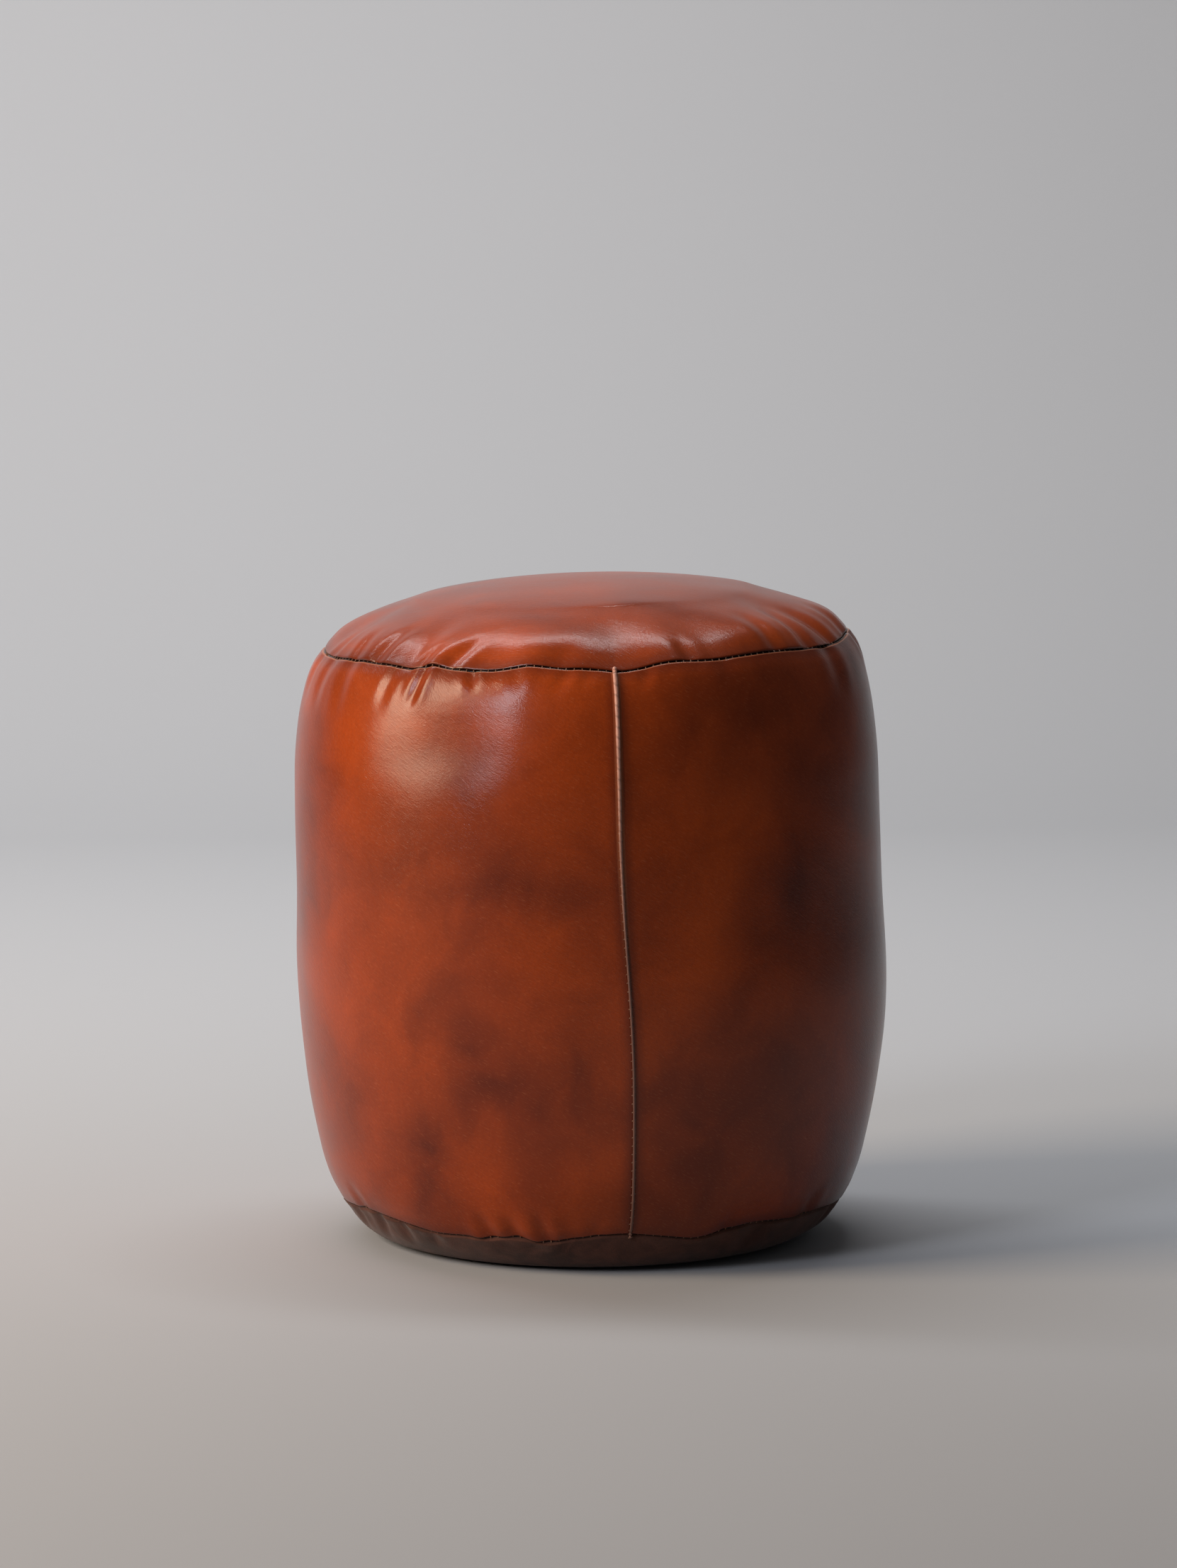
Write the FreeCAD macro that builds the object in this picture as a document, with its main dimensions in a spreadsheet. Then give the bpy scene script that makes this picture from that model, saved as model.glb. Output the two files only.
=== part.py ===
"""A stuffed leather pouf: a barrel of leather panels over a filled liner, closed by a zip underneath.

Millimetres, +Z up. The origin is on the floor under the middle of the pouf. The front seam faces -Y.
"""
import FreeCAD, Part
import math
import os

import Sketcher

# Driving dimensions. Radii and heights are of the outer surface.
SIZES = {
    "belly_radius": 202.5,
    "belly_arc": 2400.0,
    "top_seam_radius": 179.0,
    "top_seam_height": 403.0,
    "shoulder_radius": 197.1,
    "shoulder_height": 366.0,
    "shoulder_arc": 54.5,
    "foot_radius": 200.0,
    "foot_height": 96.0,
    "foot_arc": 114.6,
    "base_seam_radius": 172.0,
    "base_seam_height": 26.0,
    "crown_height": 448.0,
    "rim_radius": 148.0,
    "rim_height": 424.8,
    "rim_arc": 60.0,
    "contact_radius": 135.0,
    "base_arc": 39.3,
    "leather": 1.4,
    "allowance": 9.0,
    "fold_inset": 0.4,
    "welt_width": 1.8,
    "welt_proud": 1.2,
    "welt_depth": 8.0,
    "liner_radius": 184.0,
    "liner_top_radius": 160.0,
    "liner_top_height": 392.0,
    "liner_upper_height": 338.0,
    "liner_crown_height": 443.0,
    "liner_lower_height": 104.0,
    "liner_base_radius": 138.0,
    "liner_base_height": 13.0,
    "liner_edge_arc": 80.0,
    "liner_cloth": 0.8,
    "filling_inset": 1.2,
    "thread_radius": 0.45,
    "thread_inset": 3.0,
    "ring_stitch_pitch": 5.3,
    "side_stitch_pitch": 5.8,
    "zip_stitch_pitch": 4.0,
    "valley_depth": 7.0,
    "valley_skirt": 1.0,
    "valley_half_length": 144.0,
    "valley_half_width": 24.0,
    "valley_top_half_length": 134.0,
    "valley_top_half_width": 15.0,
    "slot_half_length": 130.0,
    "slot_half_width": 6.5,
    "end_flange_inner": 146.0,
    "end_flange_outer": 158.0,
    "end_flange_top": 12.0,
    "tape_half_length": 133.0,
    "tape_width": 12.3,
    "tape_edge": 1.7,
    "tape_thickness": 0.6,
    "tooth_pitch": 2.5,
    "tooth_length": 1.15,
    "tooth_reach": 0.9,
    "tooth_root": 4.4,
    "tooth_jaw": 0.8,
    "tooth_count": 96.0,
    "tooth_start": -120.0,
    "stop_length": 3.0,
    "stop_gap": 0.5,
    "slider_length": 12.0,
    "slider_half_width": 5.4,
    "slider_channel": 4.6,
    "slider_plate": 1.2,
    "slider_clearance": 0.2,
    "slider_neck_length": 3.0,
    "slider_neck_half_width": 0.8,
    "bridge_length": 9.0,
    "bridge_half_width": 1.1,
    "bridge_overlap": 0.2,
    "bridge_wall": 1.1,
    "bridge_drop": 1.9,
    "pull_bar_radius": 0.6,
    "pull_length": 18.0,
    "pull_width": 7.0,
    "pull_window_width": 3.2,
    "pull_window_length": 3.6,
}

doc = FreeCAD.newDocument("pouf")
sheet = doc.addObject("Spreadsheet::Sheet", "Sizes")
for row, (alias, amount) in enumerate(SIZES.items(), start=1):
    sheet.set(f"A{row}", alias)
    sheet.set(f"B{row}", str(amount))
    sheet.setAlias(f"B{row}", alias)
doc.recompute()

NODES = []


def size(text):
    """The value of a sum such as "belly_radius - leather"."""
    total = 0.0
    sign = 1
    for word in text.split():
        if word in ("+", "-"):
            sign = 1 if word == "+" else -1
        else:
            total += sign * (SIZES[word] if word in SIZES else float(word))
    return total


def bound(text):
    """The same sum as an expression on the sheet."""
    return " ".join("Sizes." + word if word in SIZES else word for word in text.split())


def minus(text):
    """The same sum with its sign turned over."""
    turned_over = {"+": "-", "-": "+"}
    return "0 - " + " ".join(turned_over.get(word, word) for word in text.split())


def sided(text, side):
    """The sum for the rear, or its mirror image for the front."""
    return text if side > 0 else minus(text)


def node(thing, label):
    """Marks a finished object as one piece of the pouf."""
    thing.Label = label
    NODES.append(thing)
    return thing


# ---- sketches and features ------------------------------------------------------------------


def new_body(name):
    return doc.addObject("PartDesign::Body", name + "_body")


def new_sketch(body, role, name):
    sketch = body.newObject("Sketcher::SketchObject", name)
    plane = next(item for item in body.Origin.OriginFeatures if item.Role == role)
    sketch.AttachmentSupport = [(plane, "")]
    sketch.MapMode = "FlatFace"
    return sketch


def name_last(sketch, index, name, text):
    """Names a constraint and ties it to the sheet."""
    sketch.renameConstraint(index, name)
    sketch.setExpression("Constraints." + name, bound(text))


def crown_radius(start, end):
    """The radius of a round edge that leaves the upright axis square to it."""
    rise = start if start.x < end.x else end
    rim = end if start.x < end.x else start
    drop = rise.y - rim.y
    return abs((rim.x ** 2 + drop ** 2) / (2 * drop))


def arc_between(start, end, radius):
    """A round edge to the left of the chord for a positive radius, to the right for a negative one."""
    chord = end - start
    half = chord.Length / 2
    away = FreeCAD.Vector(chord.y, -chord.x, 0).normalize()
    rise = math.sqrt(radius * radius - half * half)
    centre = (start + end) / 2 + away * (rise if radius > 0 else -rise)
    first, last = (end, start) if radius > 0 else (start, end)
    angles = [math.atan2(point.y - centre.y, point.x - centre.x) for point in (first, last)]
    circle = Part.Circle(centre, FreeCAD.Vector(0, 0, 1), abs(radius))
    return Part.ArcOfCircle(circle, angles[0], angles[1])


def outline(sketch, corners, mark=""):
    """A closed outline. A corner is (x, y) or (x, y, arc), where arc shapes the edge that follows it.

    x, y and arc are sums of names from the sheet. A leading "-" on the arc's name turns the edge over,
    and the arc named crown is centred on the upright axis.
    """
    points = [FreeCAD.Vector(size(corner[0]), size(corner[1]), 0) for corner in corners]
    ends = []
    for index, corner in enumerate(corners):
        start = points[index]
        end = points[(index + 1) % len(points)]
        if len(corner) == 2:
            edge = sketch.addGeometry(Part.LineSegment(start, end), False)
            ends.append((edge, 1, 2))
            continue
        over = corner[2].startswith("-")
        name = corner[2].lstrip("-")
        radius = crown_radius(start, end) if name == "crown" else size(name)
        edge = sketch.addGeometry(arc_between(start, end, -radius if over else radius), False)
        ends.append((edge, 1, 2) if over else (edge, 2, 1))
        if name == "crown":
            sketch.addConstraint(Sketcher.Constraint("PointOnObject", edge, 3, -2))
            continue
        limit = sketch.addConstraint(Sketcher.Constraint("Radius", edge, radius))
        name_last(sketch, limit, f"arc{mark}{index}", name)
    for index, (edge, first, _) in enumerate(ends):
        before, _, last = ends[index - 1]
        sketch.addConstraint(Sketcher.Constraint("Coincident", before, last, edge, first))
        for kind, axis, text in (("DistanceX", -2, corners[index][0]), ("DistanceY", -1, corners[index][1])):
            amount = size(text)
            if abs(amount) < 1e-9:
                sketch.addConstraint(Sketcher.Constraint("PointOnObject", edge, first, axis))
                continue
            limit = sketch.addConstraint(Sketcher.Constraint(kind, -1, 1, edge, first, amount))
            name_last(sketch, limit, f"{kind}{mark}{index}", text)
    return sketch


def feature(body, kind, sketch, **bound_to):
    """A Pad, Pocket or Revolution whose sizes are sums from the sheet."""
    made = body.newObject("PartDesign::" + kind, body.Name + "_" + kind + str(len(body.Group)))
    made.Profile = sketch
    for name, text in bound_to.items():
        setattr(made, name, size(text))
        made.setExpression(name, bound(text))
    body.Tip = made
    return made


def turned(body, sketch, degrees=360.0):
    """Turns an outline about the sketch's upright axis, evenly to both sides."""
    made = feature(body, "Revolution", sketch)
    made.ReferenceAxis = (sketch, ["V_Axis"])
    made.Angle = degrees
    made.Midplane = degrees < 360.0
    return made


def box(name, x, y, z):
    """A box from low and high sums along each axis."""
    made = doc.addObject("Part::Box", name)
    for axis, length, (low, high) in zip("xyz", ("Length", "Width", "Height"), (x, y, z)):
        span = f"({bound(high)}) - ({bound(low)})"
        made.setExpression(length, span)
        made.setExpression("Placement.Base." + axis, bound(low))
        setattr(made, length, size(high) - size(low))
    return made


def cut(name, base, tool):
    made = doc.addObject("Part::Cut", name)
    made.Base, made.Tool = base, tool
    return made


def fused(name, *pieces):
    made = doc.addObject("Part::MultiFuse", name)
    made.Shapes = list(pieces)
    return made


def common(name, base, tool):
    made = doc.addObject("Part::Common", name)
    made.Base, made.Tool = base, tool
    return made


# ---- the leather cover ----------------------------------------------------------------------


def wall(shift=""):
    """The wall's outer curve from the top seam down to the base seam, moved out by shift."""
    return [
        ("top_seam_radius" + shift, "top_seam_height", "shoulder_arc"),
        ("shoulder_radius" + shift, "shoulder_height", "belly_arc"),
        ("foot_radius" + shift, "foot_height", "foot_arc"),
        ("base_seam_radius" + shift, "base_seam_height"),
    ]


def wall_up(shift):
    """The same curve from the base seam up to the top seam."""
    down = wall(shift)
    arcs = ["-foot_arc", "-belly_arc", "-shoulder_arc"]
    corners = [corner[:2] for corner in reversed(down)]
    return [corner + (arc,) for corner, arc in zip(corners, arcs)] + [corners[-1]]


def mirrored_left(corners):
    """The outline on the far side of the sketch's upright axis."""
    flipped = []
    for corner in corners:
        arc = tuple(name[1:] if name.startswith("-") else "-" + name for name in corner[2:])
        flipped.append((minus(corner[0]), corner[1]) + arc)
    return flipped


def top_panel():
    """The domed top disc, with its seam allowance turned in underneath."""
    body = new_body("top_panel")
    rim_in = "rim_radius - fold_inset"
    corners = [
        ("0", "crown_height", "crown"),
        ("rim_radius", "rim_height", "rim_arc"),
        ("top_seam_radius", "top_seam_height"),
        ("top_seam_radius - allowance", "top_seam_height"),
        ("top_seam_radius - allowance", "top_seam_height + leather"),
        ("top_seam_radius - leather", "top_seam_height + leather", "-rim_arc"),
        (rim_in, "rim_height - leather", "-crown"),
        ("0", "crown_height - leather"),
    ]
    turned(body, outline(new_sketch(body, "XZ_Plane", "top_outline"), corners))
    return node(body, "top_panel")


def side_panel(label, turn):
    """Half of the wall, from the front seam to the rear seam, with all its edges turned in."""
    body = new_body(label)
    shell = wall() + [
        ("base_seam_radius - allowance", "base_seam_height"),
        ("base_seam_radius - allowance", "base_seam_height + leather"),
    ]
    inside = wall_up(" - leather")
    shell.append(("base_seam_radius - fold_inset", "base_seam_height + leather", "-foot_arc"))
    shell += inside[1:3]
    shell.append(("top_seam_radius - fold_inset", "top_seam_height - leather"))
    shell += [
        ("top_seam_radius - allowance", "top_seam_height - leather"),
        ("top_seam_radius - allowance", "top_seam_height"),
    ]
    turned(body, outline(new_sketch(body, "XZ_Plane", label + "_outline"), shell), 180.0)
    folds = new_sketch(body, "YZ_Plane", label + "_folds")
    band = wall(" - fold_inset") + wall_up(" - allowance")
    outline(folds, band, "rear")
    outline(folds, mirrored_left(band), "front")
    feature(body, "Pad", folds, Length="welt_width + leather")
    parting = new_sketch(body, "YZ_Plane", label + "_parting")
    corners = [
        ("crown_height", "0"),
        ("crown_height", "crown_height"),
        ("0 - crown_height", "crown_height"),
        ("0 - crown_height", "0"),
    ]
    trim = feature(body, "Pocket", outline(parting, corners), Length="welt_width")
    trim.Midplane = True
    body.Placement.Rotation = FreeCAD.Rotation(FreeCAD.Vector(0, 0, 1), turn)
    return node(body, label)


def seam_welt(label, turn):
    """A narrow strip of raw leather between the two side panels, standing a little proud."""
    body = new_body(label)
    band = wall(" + welt_proud") + wall_up(" - welt_depth")
    outline(new_sketch(body, "YZ_Plane", label + "_outline"), band)
    strip = feature(body, "Pad", body.Group[0], Length="welt_width")
    strip.Midplane = True
    body.Placement.Rotation = FreeCAD.Rotation(FreeCAD.Vector(0, 0, 1), turn)
    return node(body, label)


def dish(name, corners):
    """A filled solid of revolution that the base is cut from."""
    body = new_body(name)
    turned(body, outline(new_sketch(body, "XZ_Plane", name + "_outline"), corners))
    # The solid's own seam edge is turned clear of the plane where the two halves part.
    body.Placement.Rotation = FreeCAD.Rotation(FreeCAD.Vector(0, 0, 1), 45)
    return body


def valley(name, grow):
    """The long hollow across the base that keeps the zip off the floor."""
    made = doc.addObject("Part::Wedge", name)
    edges = {
        "Xmin": f"0 - valley_half_length{grow}",
        "Xmax": "valley_half_length" + grow.replace("-", "+"),
        "Zmin": f"0 - valley_half_width{grow}",
        "Zmax": "valley_half_width" + grow.replace("-", "+"),
        "X2min": f"0 - valley_top_half_length{grow}",
        "X2max": "valley_top_half_length" + grow.replace("-", "+"),
        "Z2min": f"0 - valley_top_half_width{grow}",
        "Z2max": "valley_top_half_width" + grow.replace("-", "+"),
        "Ymin": "0 - valley_skirt",
        "Ymax": "valley_depth" + grow.replace("-", "+"),
    }
    for edge, text in edges.items():
        setattr(made, edge, size(text))
        made.setExpression(edge, bound(text))
    made.Placement.Rotation = FreeCAD.Rotation(FreeCAD.Vector(1, 0, 0), 90)
    return made


def base_shell():
    """The whole base as one skin, before it is parted along the zip."""
    outer = dish("dish", [
        ("0", "0"),
        ("contact_radius", "0", "-base_arc"),
        ("base_seam_radius", "base_seam_height"),
        ("0", "base_seam_height"),
    ])
    inner = dish("dish_inside", [
        ("0", "leather"),
        ("contact_radius", "leather", "-base_arc"),
        ("base_seam_radius - leather", "base_seam_height - leather"),
        ("base_seam_radius - allowance", "base_seam_height - leather"),
        ("base_seam_radius - allowance", "base_seam_height + valley_skirt"),
        ("0", "base_seam_height + valley_skirt"),
    ])
    hollow = cut("base_outside", outer, valley("valley", ""))
    room = cut("base_room", inner, valley("valley_inside", " - leather"))
    return hollow, cut("base_skin", hollow, room)


def base_panel(label, hollow, skin, side):
    """One half of the suede base, with a slot for the zip and a short closed seam at each end."""
    far = "belly_radius"
    other = ("0 - " + far, "0") if side > 0 else ("0", far)
    rest = box(label + "_rest", ("0 - " + far, far), other, ("0 - valley_skirt", far))
    half = cut(label + "_half", skin, rest)
    thin = ("0", "leather") if side > 0 else ("0 - leather", "0")
    pieces = [half]
    for end, reach in (
        ("left", ("0 - end_flange_outer", "0 - end_flange_inner")),
        ("right", ("end_flange_inner", "end_flange_outer")),
    ):
        plate = box(f"{label}_{end}", reach, thin, ("0", "end_flange_top"))
        pieces.append(common(f"{label}_{end}_flange", hollow, plate))
    whole = fused(label + "_whole", *pieces)
    slot = box(
        label + "_slot",
        ("0 - slot_half_length", "slot_half_length"),
        ("0 - slot_half_width", "slot_half_width"),
        ("0", "end_flange_top"),
    )
    return node(cut(label + "_cut", whole, slot), label)


# ---- the stitches ---------------------------------------------------------------------------


def thread(label, places, direction, length):
    """Thread through the leather: one short pin for each stitch, centred on its place."""
    along = FreeCAD.Vector(*direction)
    pins = []
    for place in places:
        start = FreeCAD.Vector(*place) - along * (length / 2)
        pins.append(Part.makeCylinder(size("thread_radius"), length, start, along))
    made = doc.addObject("Part::Feature", label)
    made.Shape = Part.makeCompound(pins)
    made.Placement = FreeCAD.Placement()
    return node(made, label)


def ring(radius, height):
    """Evenly spaced places round a seam, clear of the front and rear welts."""
    count = 2 * round(math.pi * radius / size("ring_stitch_pitch"))
    turns = [(step + 0.5) * 2 * math.pi / count for step in range(count)]
    return [(radius * math.cos(turn), radius * math.sin(turn), height) for turn in turns]


def wall_radius(height):
    """The wall's outer radius at a height, on the same three arcs as the panels."""
    curve = wall()
    for upper, lower in zip(curve, curve[1:]):
        top = FreeCAD.Vector(size(upper[0]), size(upper[1]), 0)
        bottom = FreeCAD.Vector(size(lower[0]), size(lower[1]), 0)
        if bottom.y <= height <= top.y:
            arc = arc_between(top, bottom, size(upper[2]))
            reach = abs(arc.Radius)
            return arc.Center.x + math.sqrt(reach * reach - (height - arc.Center.y) ** 2)


def side_places(front):
    """Places up a side seam, a little inside the wall."""
    low = size("base_seam_height + leather + allowance")
    high = size("top_seam_height - leather - allowance")
    count = round((high - low) / size("side_stitch_pitch"))
    heights = [low + (high - low) * step / count for step in range(count + 1)]
    return [(0, front * (wall_radius(at) - size("thread_inset")), at) for at in heights]


def zip_places(side):
    """Places along one zip tape, where it is sewn to the base."""
    reach = size("valley_top_half_length - allowance")
    count = round(2 * reach / size("zip_stitch_pitch"))
    across = side * size("slot_half_width + thread_inset")
    height = size("valley_depth") + size("leather + tape_thickness") / 2
    return [(-reach + 2 * reach * step / count, across, height) for step in range(count + 1)]


# ---- the zip --------------------------------------------------------------------------------

TAPE_LOW = "valley_depth + leather"
TAPE_HIGH = "valley_depth + leather + tape_thickness"
TOOTH_LOW = "valley_depth + leather - tooth_jaw"
TOOTH_HIGH = "valley_depth + leather + tape_thickness + tooth_jaw"


def zip_tape(label, side):
    """A strip of woven tape on the inner side of the base, along one edge of the slot."""
    near, far = "tape_edge", "tape_edge + tape_width"
    across = (near, far) if side > 0 else ("0 - tape_edge - tape_width", "0 - tape_edge")
    made = box(label + "_box", ("0 - tape_half_length", "tape_half_length"), across, (TAPE_LOW, TAPE_HIGH))
    return node(made, label)


def tooth_block(label, side, start, length, reach="tooth_reach"):
    """One metal piece that grips a tape edge from both faces and reaches past the centre line."""
    jaw = sided("tooth_root", side)
    tip = sided(minus(reach), side)
    edge = sided("tape_edge", side)
    body = new_body(label)
    corners = [
        (tip, TOOTH_LOW),
        (jaw, TOOTH_LOW),
        (jaw, TAPE_LOW),
        (edge, TAPE_LOW),
        (edge, TAPE_HIGH),
        (jaw, TAPE_HIGH),
        (jaw, TOOTH_HIGH),
        (tip, TOOTH_HIGH),
    ]
    outline(new_sketch(body, "YZ_Plane", label + "_outline"), corners)
    feature(body, "Pad", body.Group[0], Length=length)
    body.Placement.Base.x = start
    return body


def zip_teeth(label, side, start):
    """A row of teeth, each reaching between two teeth of the other row."""
    body = tooth_block(label, side, start, "tooth_length")
    pad = body.Tip
    row_of = body.newObject("PartDesign::LinearPattern", label + "_row")
    row_of.Originals = [pad]
    row_of.Direction = (body.Group[0], ["N_Axis"])
    row_of.Occurrences = round(size("tooth_count"))
    row_of.setExpression("Occurrences", bound("tooth_count"))
    row_of.Length = size("tooth_pitch") * (size("tooth_count") - 1)
    row_of.setExpression("Length", "Sizes.tooth_pitch * (Sizes.tooth_count - 1)")
    body.Tip = row_of
    return node(body, label)


def row_end():
    """Where the last pair of teeth ends."""
    return size("tooth_start") + size("tooth_pitch") * (size("tooth_count") - 0.5) + size("tooth_length")


def slider_middle():
    """The slider's place on the closed zip: half over the last teeth, just short of the top stops."""
    return row_end()


def top_stop(label, side):
    """A crimped stop at the closed end of one tape, parted from its twin."""
    start = slider_middle() + size("slider_length") / 2 + size("stop_gap")
    return node(tooth_block(label, side, start, "stop_length", "0 - stop_gap"), label)


def bottom_stop():
    """The block that joins both tapes at the far end of the zip."""
    start = size("tooth_start") - size("stop_length") - size("stop_gap")
    front = tooth_block("bottom_stop_front", -1, start, "stop_length")
    rear = tooth_block("bottom_stop_rear", 1, start, "stop_length")
    return node(fused("bottom_stop_whole", front, rear), "zip_bottom_stop")


def centred_box(name, middle, length, half_width, z):
    """A box about the zip's centre line, at a place along it."""
    made = box(name, ("0", "1"), (minus(half_width), half_width), z)
    made.setExpression("Length", None)
    made.setExpression("Placement.Base.x", None)
    made.Length = length
    made.Placement.Base.x = middle - length / 2
    return made


def slider():
    """Two plates round the teeth, joined by a neck, with a bridge below that carries the pull."""
    middle = slider_middle()
    length = size("slider_length")
    tooth_low = TOOTH_LOW + " - slider_clearance"
    tooth_high = TOOTH_HIGH + " + slider_clearance"
    body = centred_box("slider_block", middle, length, "slider_half_width",
                       (tooth_low + " - slider_plate", tooth_high + " + slider_plate"))
    tunnel = 2 * length
    channel = centred_box("slider_tunnel", middle, tunnel, "slider_channel", (tooth_low, tooth_high))
    gap = centred_box("slider_tape_gap", middle, tunnel, "slider_half_width + bridge_overlap",
                      (TAPE_LOW + " - slider_clearance", TAPE_HIGH + " + slider_clearance"))
    neck_at = middle + length / 2 - size("slider_neck_length") / 2
    neck = centred_box("slider_neck", neck_at, size("slider_neck_length"), "slider_neck_half_width",
                       (tooth_low + " - bridge_overlap", tooth_high + " + bridge_overlap"))
    shell = cut("slider_open", cut("slider_shell", body, channel), gap)
    bridge_low = tooth_low + " - slider_plate - bridge_drop - bridge_wall"
    bridge = centred_box("slider_bridge", middle, size("bridge_length"), "bridge_half_width",
                         (bridge_low, tooth_low + " - slider_plate + bridge_overlap"))
    eye = centred_box("slider_eye", middle, size("bridge_length - bridge_wall - bridge_wall"),
                      "slider_half_width", (bridge_low + " + bridge_wall", tooth_low + " - slider_plate"))
    loop = cut("slider_loop", bridge, eye)
    return node(fused("slider_whole", shell, neck, loop), "zip_slider")


def pull_axis():
    """The pull's turning axis, along Y: its place along the zip and its height."""
    back = size("bridge_length") / 2 - size("bridge_wall + pull_bar_radius + bridge_overlap")
    height = size(TOOTH_LOW + " - slider_clearance - slider_plate - bridge_drop")
    return slider_middle() - back, height + size("bridge_drop") / 2


def pull():
    """A flat tag whose round bar turns in the slider's bridge."""
    across, height = pull_axis()
    bar = doc.addObject("Part::Cylinder", "pull_bar")
    bar.setExpression("Radius", "Sizes.pull_bar_radius")
    bar.setExpression("Height", "Sizes.pull_width")
    bar.Placement = FreeCAD.Placement(
        FreeCAD.Vector(across, size("pull_width") / 2, height),
        FreeCAD.Rotation(FreeCAD.Vector(1, 0, 0), 90),
    )
    tag = doc.addObject("Part::Box", "pull_tag")
    tag.setExpression("Length", "Sizes.pull_length")
    tag.setExpression("Width", "Sizes.pull_width")
    tag.setExpression("Height", "Sizes.pull_bar_radius * 2")
    low = height - size("pull_bar_radius")
    tag.Placement.Base = FreeCAD.Vector(across - size("pull_length"), -size("pull_width") / 2, low)
    window = doc.addObject("Part::Box", "pull_window")
    window.setExpression("Length", "Sizes.pull_window_length")
    window.setExpression("Width", "Sizes.pull_window_width")
    window.setExpression("Height", "Sizes.pull_bar_radius * 4")
    start = across - size("pull_window_length")
    below = low - size("bridge_overlap")
    window.Placement.Base = FreeCAD.Vector(start, -size("pull_window_width") / 2, below)
    frame = cut("pull_frame", tag, window)
    return node(fused("pull_whole", frame, bar), "zip_pull")


# ---- the inside -----------------------------------------------------------------------------


def liner_curve(inset):
    """The liner's outline from its crown to its base, moved in by an inset."""
    less = f" - {inset}" if inset else ""
    more = f" + {inset}" if inset else ""
    return [
        ("0", "liner_crown_height" + less, "crown"),
        ("liner_top_radius" + less, "liner_top_height" + less, "liner_edge_arc"),
        ("liner_radius" + less, "liner_upper_height"),
        ("liner_radius" + less, "liner_lower_height", "liner_edge_arc"),
        ("liner_base_radius" + less, "liner_base_height" + more),
        ("0", "liner_base_height" + more),
    ]


def liner_bag():
    """The closed inner bag of thin cloth."""
    body = new_body("liner_bag")
    sketch = new_sketch(body, "XZ_Plane", "liner_outline")
    turned(body, outline(sketch, liner_curve("")))
    hollow = new_body("liner_hollow")
    turned(hollow, outline(new_sketch(hollow, "XZ_Plane", "hollow_outline"), liner_curve("liner_cloth")))
    return node(cut("liner_skin", body, hollow), "liner_bag")


def stuffing():
    """The filling, as one solid."""
    body = new_body("stuffing")
    sketch = new_sketch(body, "XZ_Plane", "stuffing_outline")
    turned(body, outline(sketch, liner_curve("filling_inset")))
    return node(body, "stuffing")


# ---- assembly -------------------------------------------------------------------------------


def build():
    top_panel()
    side_panel("side_panel_right", 0)
    side_panel("side_panel_left", 180)
    seam_welt("rear_seam_welt", 0)
    seam_welt("front_seam_welt", 180)
    hollow, skin = base_shell()
    base_panel("base_panel_front", hollow, skin, -1)
    base_panel("base_panel_rear", hollow, skin, 1)

    inset = size("thread_inset")
    double = 2 * size("leather") + 2 * size("thread_radius")
    top_ring = ring(size("top_seam_radius") - inset, size("top_seam_height"))
    thread("top_seam_thread", top_ring, (0, 0, 1), double)
    base_ring = ring(size("base_seam_radius") - inset, size("base_seam_height"))
    thread("base_seam_thread", base_ring, (0, 0, 1), double)
    across = double + size("welt_width")
    thread("front_seam_thread", side_places(-1), (1, 0, 0), across)
    thread("rear_seam_thread", side_places(1), (1, 0, 0), across)

    second = size("tooth_start") + size("tooth_pitch") / 2
    for end, side, start in (("front", -1, size("tooth_start")), ("rear", 1, second)):
        zip_tape("zip_tape_" + end, side)
        zip_teeth("zip_teeth_" + end, side, start)
        top_stop("zip_top_stop_" + end, side)
        deep = size("leather + tape_thickness + tooth_jaw")
        thread("zip_stitching_" + end, zip_places(side), (0, 0, 1), deep)
    bottom_stop()
    slider()
    pull()
    liner_bag()
    stuffing()


def export():
    """Stops on any failed object, then writes each piece to its own file."""
    doc.recompute()
    for thing in doc.Objects:
        if {"Invalid", "Error"} & set(thing.State):
            raise RuntimeError(f"{thing.Name} ({thing.Label}) failed: {thing.State}")
    os.makedirs("parts", exist_ok=True)
    for thing in NODES:
        shape = thing.Shape
        if shape.isNull() or not shape.isValid():
            raise RuntimeError(f"{thing.Label} has no valid shape")
        shape.exportStep(f"parts/{thing.Label}.step")
        room = shape.BoundBox
        low = [round(value, 2) for value in (room.XMin, room.YMin, room.ZMin)]
        high = [round(value, 2) for value in (room.XMax, room.YMax, room.ZMax)]
        print(thing.Label, len(shape.Solids), "solids", round(shape.Volume, 1), "mm3", low, high)
    print("pull axis", pull_axis(), "slider", slider_middle())


build()
export()
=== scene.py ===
"""A stuffed leather pouf: a domed top, two side panels, a suede base with a zip, and what is inside.

Metres, +Z up. The front seam faces -Y. Angles round the pouf are degrees from the front seam, and
positive towards +X.
"""
import math
import random

import bpy
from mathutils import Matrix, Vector, noise


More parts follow.
